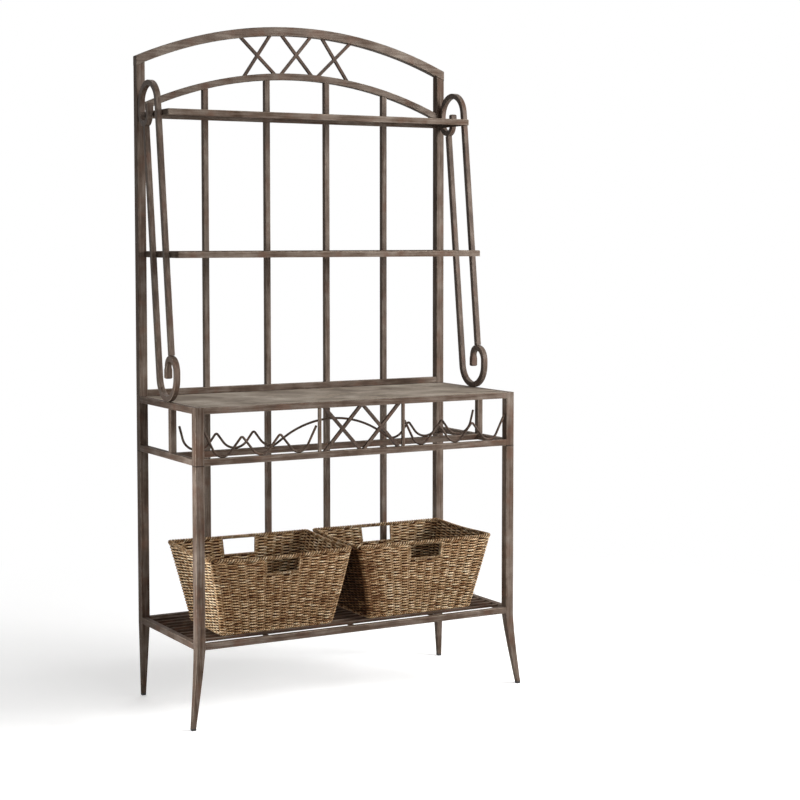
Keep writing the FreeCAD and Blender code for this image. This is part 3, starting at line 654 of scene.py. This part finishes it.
def woven_basket(name, centre_x, dip, dip_at, pull, rise, pale, seed, loop=False):
    """Tapered basket: cords woven in and out of upright stakes, with roped edges.

    dip and dip_at go to sag, pull to round_basket, rise to ear and pale, the painted light and
    shade of the walls, to bleached. loop adds the rope up the front left corner and the small
    loop over it.
    """
    rng = np.random.default_rng(seed)
    body = name  # each basket is a body of its own, called as its node is
    pull = np.array(pull)

    def wall(q, height, depth):
        """Points in the wall, with their outward and upward directions."""
        q, height, depth = (np.array(a, float) for a in np.broadcast_arrays(q, height, depth))
        plan, out, lift = round_basket(q, height, WALL / 2, pull)
        climb = height / BASKET_TALL
        fall = sag(q, dip, dip_at) * climb ** 2 - ear(q, rise) * climb ** EAR_POWER - lift
        outward = np.stack([out[..., 0] * math.cos(LEAN), out[..., 1] * math.cos(LEAN),
                            np.full(out.shape[:-1], -math.sin(LEAN))], -1)
        upward = np.stack([out[..., 0] * math.sin(LEAN), out[..., 1] * math.sin(LEAN),
                           np.full(out.shape[:-1], math.cos(LEAN))], -1)
        point = np.stack([centre_x + plan[..., 0], BASKET_Y + plan[..., 1],
                          BASKET_LOW + height - fall], -1)
        return point + outward * depth[..., None], outward, upward

    def up_wall(q, height, depth):
        """Points in the wall, with their outward directions and those along the wall."""
        point, outward, upward = wall(q, height, depth)
        return point, outward, np.cross(upward, outward)

    def weft(first, last, height, phase, closed):
        """Cord woven along part of a row."""
        steps = int(round((last - first) * CORD_RINGS))
        q = np.linspace(first, last, steps + (0 if closed else 1), endpoint=not closed)
        swing = np.cos(np.pi * (q - 0.5 + phase))
        wander = (ROW_WAVE * np.sin(q * 0.9 + rng.random() * 6)
                  + ROW_STRAY * rng.standard_normal())
        plump = (1 + PLUMP_SPREAD * rng.standard_normal()
                 + PLUMP_WAVE * np.sin(q * 2.3 + rng.random() * 6))
        point, outward, upward = wall(q, height + wander, CORD_SWING * swing)
        tall = ((CORD_THIN + CORD_GAIN * np.abs(swing) ** GAIN_POWER)
                * np.clip(plump, *PLUMP_LIMITS))
        turn = 2 * np.pi * np.arange(CORD_SIDES) / CORD_SIDES
        rings = (point[:, None, :]
                 + outward[:, None, :] * (CORD_DEEP * np.cos(turn))[None, :, None]
                 + upward[:, None, :] * (tall[:, None] * np.sin(turn))[:, :, None])
        return rings, closed, running(point, closed), rng.random(), painted_wall_light(q, **pale)

    # ---- rows, in two pieces that start on opposite sides of the stakes ----
    over, under = [], []
    for number, height in enumerate(np.arange(FIRST_ROW, UNDER_RIM + 0.0005, ROW)):
        phase = number % 2
        group = under if phase else over
        if height < HOLE_LOW - 0.003:
            group.append(weft(0, BANDS, height, phase, True))
        else:
            group.append(weft(HOLE_FRONT + HOLE_EDGE, HOLE_BACK - HOLE_EDGE, height, phase, False))
            group.append(weft(HOLE_BACK + HOLE_EDGE, HOLE_FRONT - HOLE_EDGE + BANDS, height,
                              phase, False))
    pieces = [tube_mesh(name + "_weft_over", over, SEAGRASS),
              tube_mesh(name + "_weft_under", under, SEAGRASS)]

    # ---- floor weave, between the drawn corners of the base ----
    half = BASE / 2 - FLOOR_INSET
    floor = []
    for number, y in enumerate(np.arange(BASE_PULL[FRONT_LEFT, 1] - half[1] + 0.002,
                                         half[1] - 0.001, ROW)):
        t = np.clip(y / half[1], -1, 1) / 2 + 0.5
        left, right = (BASE_PULL[front, 0] + (BASE_PULL[back, 0] - BASE_PULL[front, 0]) * t
                       for front, back in ((FRONT_LEFT, BACK_LEFT), (FRONT_RIGHT, BACK_RIGHT)))
        x = np.linspace(left - half[0], right + half[0], FLOOR_STAKES * FLOOR_RINGS + 1)
        swing = np.cos(np.pi * (np.linspace(0, FLOOR_STAKES, len(x)) - 0.5 + number % 2))
        point = np.stack([centre_x + x, np.full_like(x, BASKET_Y + y),
                          BASKET_LOW + FLOOR_HEIGHT + FLOOR_SWING * swing], 1)
        wide = FLOOR_THIN + FLOOR_GAIN * np.abs(swing) ** GAIN_POWER
        turn = 2 * np.pi * np.arange(FLOOR_SIDES) / FLOOR_SIDES + np.pi / FLOOR_SIDES
        rings = np.repeat(point[:, None, :], FLOOR_SIDES, axis=1)
        rings[:, :, 2] += (CORD_DEEP * np.cos(turn))[None, :]
        rings[:, :, 1] -= wide[:, None] * np.sin(turn)
        floor.append((rings, False, running(point, False), rng.random(), np.zeros(len(x))))
    pieces.append(tube_mesh(name + "_floor_weave", floor, SEAGRASS))

    # ---- ropes round the rim and the base, up the corners and round the hand holes ----
    ropes = []
    q = np.linspace(0, BANDS, EDGE_RINGS, endpoint=False)
    rim = wall(q, RIM_HEIGHT, 0.0)
    ropes += rope(rim, True, RIM_ROPE, rng)
    ropes += rope(rim, True, RIM_CORE, rng, 5)
    ropes += rope(wall(q, BASE_ROPE_HEIGHT, -0.0002), True, BASE_ROPE, rng)
    for corner in ([FRONT_LEFT_ROPE] if loop else []) + CORNER_ROPES:
        height = np.linspace(0.006, UNDER_RIM + 0.002, CORNER_RINGS)
        ropes += rope(up_wall(corner, height, CORNER_DEPTH), False, CORNER_ROPE, rng)
    for hole in (HOLE_FRONT, HOLE_BACK):
        height = np.linspace(HOLE_LOW + 0.002, UNDER_RIM + 0.003, HOLE_SIDE_RINGS)
        for way in (-1, 1):
            ropes += rope(up_wall(hole + way * HOLE_EDGE, height, 0.0), False,
                          HOLE_SIDE_ROPE, rng)
        q = np.linspace(hole - HOLE_BANDS + 0.02, hole + HOLE_BANDS - 0.02, HOLE_LOW_RINGS)
        ropes += rope(wall(q, HOLE_LOW + 0.0012, 0.0), False, HOLE_LOW_ROPE, rng)

    # ---- loose fibres, and the loop over the rim ----
    loose = rng.uniform(LOOSE_LEAST, LOOSE_MOST, (LOOSE_COUNT, len(LOOSE_MOST)))
    for first, height, run, drop, radius in [*STRAYS, *loose]:
        f = np.linspace(0, 1, STRAY_RINGS)
        path = up_wall(first + run * f, height - drop * f,
                       STRAY_DEPTH + STRAY_ARCH * np.sin(np.pi * f))
        ropes += rope(path, False, (1, radius, 0.0, STRAY_LAY), rng, 5)
    if loop:
        foot = wall(np.array([LOOP_BAND]), BASKET_TALL, 0.0)[0][0]
        angle = np.linspace(0, 2 * np.pi, LOOP_RINGS, endpoint=False)
        outward = np.repeat([[-LOOP_ACROSS[1], LOOP_ACROSS[0], 0.0]], len(angle), axis=0)
        spoke = (np.cos(angle)[:, None] * np.array([*LOOP_ACROSS, 0.0])
                 + np.sin(angle)[:, None] * np.array([0.0, 0.0, 1.0]))
        point = foot + spoke * LOOP_RADII + np.array([0.0, 0.0, LOOP_RISE])
        ropes += rope((point, outward, spoke), True, LOOP_ROPE, rng, 6)
    pieces.append(tube_mesh(name + "_edge_ropes", ropes, ROPE))

    # ---- stakes and floor sheet behind the weave, open at the hand holes ----
    levels = [0.003, 0.05, 0.10, HOLE_LOW, UNDER_RIM + 0.002]
    q = np.arange(0, BANDS, 1 / STAKES_PER_BAND)
    column = q.copy()
    for hole in (HOLE_FRONT, HOLE_BACK):
        for way in (-1, 1):
            away = (q - hole) * way
            column[(away > BESIDE_HOLE[0]) & (away < BESIDE_HOLE[1])] = hole + way * HOLE_EDGE
    vertices, faces = [], []
    for height in levels:
        vertices += wall(column, height, 0.0)[0].tolist()
    for level in range(len(levels) - 1):
        for k in range(len(q)):
            middle = q[k] + 0.5 / STAKES_PER_BAND
            in_hole = min(abs(middle - HOLE_FRONT), abs(middle - HOLE_BACK)) < HOLE_BANDS
            if level == len(levels) - 2 and in_hole:
                continue
            after = (k + 1) % len(q)
            faces.append([level * len(q) + k, level * len(q) + after,
                          (level + 1) * len(q) + after, (level + 1) * len(q) + k])
    first = len(vertices)
    for sign, moved in zip(CORNER_SIGNS, BASE_PULL):
        vertices.append([centre_x + moved[0] + sign[0] * half[0],
                         BASKET_Y + moved[1] + sign[1] * half[1], BASKET_LOW + FLOOR_HEIGHT])
    faces.append([first, first + 1, first + 2, first + 3])
    mesh = bpy.data.meshes.new(name + "_stakes")
    mesh.from_pydata(vertices, [], faces)
    mesh.materials.append(STAKES)
    stakes = add_object(name + "_stakes", mesh)
    thick = stakes.modifiers.new("thickness", "SOLIDIFY")
    thick.thickness = STAKE_THICK
    thick.offset = 0.0
    pieces.append(stakes)

    for piece in pieces:
        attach(piece, body)
    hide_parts(name)


SEAGRASS = seagrass("seagrass_weft", 0.0115, 2, edge_shade=0.95)
ROPE = seagrass("seagrass_rope", 0.013, 2, tone=0.045, edge_shade=0.9)
STAKES = stake_fibre("seagrass_stakes")
# pale is painted light and shade: paler on basket_left's left wall, most at its front end, and on
# the far walls of both; darker on basket_right's left wall and round its front left corner, in
# shade
woven_basket("basket_left", -0.207, dip=0.0055, dip_at=0.25,
             pull=[(-0.010, 0.0, 0.0), (-0.006, 0.0, 0.0),
                   (0.013, 0.003, 0.003), (-0.005, 0.0, 0.008)],
             rise=0.005, seed=11, loop=True,
             pale=dict(left_back=0.35, left_front=0.66, far=0.30, front=0.08, fade=0.6))
woven_basket("basket_right", 0.207, dip=0.002, dip_at=0.7,
             pull=[(-0.018, 0.0, 0.0), (0.0, 0.0, 0.0),
                   (0.003, 0.0, 0.002), (0.0, 0.002, 0.004)],
             rise=0.004, seed=23,
             pale=dict(left_back=-0.55, left_front=-0.70, far=0.32, front=0.22, fade=3.0))


# =====================================================================
# Stage
# =====================================================================

WHITE = (1.0, 1.0, 1.0, 1.0)
FLOOR_COLOUR = (0.80, 0.80, 0.80, 1.0)
FLOOR_HALF = 30
FLOOR_LIFT = 0.42  # added where the floor is seen, so that it shows pale under plain light
FLOOR_NEAR, FLOOR_FAR = 0.7, 2.2  # distances between which it turns to the backdrop's white
SKY_COLOUR = (1.0, 0.99, 0.975, 1.0)
SKY_STRENGTH = 0.22


def floor_paint(name):
    """Pale diffuse floor, lifted where it is seen directly or in gloss, white from far outward."""
    g = Graph(bpy.data.materials.new(name))
    seen = g.backdrop_rays()
    matt = g.add("BsdfDiffuse", {"Color": FLOOR_COLOUR})
    glow = g.add("Emission", {"Color": WHITE, "Strength": g.math("MULTIPLY", seen, FLOOR_LIFT)})
    close = g.add("AddShader", {0: matt.outputs[0], 1: glow.outputs[0]})
    white = g.add("Emission", {"Color": WHITE, "Strength": 1.0})
    reach = g.add("VectorMath", {0: g.coordinates()}, operation="LENGTH").outputs["Value"]
    outside = g.math("MULTIPLY", seen, g.spread(reach, FLOOR_NEAR, FLOOR_FAR))
    both = g.add("MixShader", {0: outside, 1: close.outputs[0], 2: white.outputs[0]})
    g.add("OutputMaterial", {0: both.outputs[0]})
    return g.owner


floor_mesh = bpy.data.meshes.new("floor")
floor_mesh.from_pydata([(x * FLOOR_HALF, y * FLOOR_HALF, 0)
                        for x, y in ((-1, -1), (1, -1), (1, 1), (-1, 1))], [], [(0, 1, 2, 3)])
floor_mesh.materials.append(floor_paint("floor_paint"))
floor = add_object("floor", floor_mesh)

# ---- world: white where it is seen, a soft even light for everything else ----
world = bpy.data.worlds.new("studio")
bpy.context.scene.world = world
g = Graph(world)
soft = g.add("Background", {0: SKY_COLOUR, 1: SKY_STRENGTH})
white = g.add("Background", {0: WHITE, 1: 1.0})
both = g.add("MixShader", {0: g.backdrop_rays(), 1: soft.outputs[0], 2: white.outputs[0]})
g.add("OutputWorld", {0: both.outputs[0]})

LAMPS = [  # name, place, point it is turned to, size, power, whole angle of its beam in degrees
    ("side", (-0.95, -0.20, 0.48), (-0.45, -0.20, 0.48), (0.20, 0.80), 2.2, 80.0),
    ("front_right", (2.1, -1.6, 1.5), (0.2, 0, 0.9), (1.2, 1.4), 106, 180.0),
    ("front", (2.6, -3.6, 2.2), (0, 0, 0.9), (2.4, 2.4), 14, 180.0),
    ("high", (0.8, -2.6, 3.6), (0, 0, 1.2), (2.4, 2.0), 54, 180.0),
    ("back", (0.6, 2.4, 4.0), (0, 0, 0.9), (2.4, 2.2), 50, 180.0),
]
for name, place, aim, size, power, beam in LAMPS:
    light = bpy.data.lights.new(name, "AREA")
    light.shape = "RECTANGLE"
    light.size, light.size_y = size
    light.energy = power
    light.spread = math.radians(beam)
    lamp = add_object(name, light)
    lamp.location = place
    way = np.array(aim) - np.array(place)
    yaw = math.atan2(-way[0], way[1])
    pitch = math.atan2(way[2], math.hypot(way[0], way[1]))
    lamp.rotation_euler = (math.pi / 2 + pitch, 0.0, yaw)

# ---- camera, solved from the photograph's own edges ----
camera_data = bpy.data.cameras.new("camera")
camera_data.sensor_width = 36.0
camera_data.lens = 80.323
camera_data.shift_y = -0.06
camera_data.clip_end = 100.0
camera = add_object("camera", camera_data)
camera.location = (-2.1394, -4.1418, 1.1953)
camera.rotation_euler = (math.radians(90 - 3.697), 0.0, math.radians(-29.625))
bpy.context.scene.camera = camera
bpy.context.scene.view_settings.view_transform = "Standard"
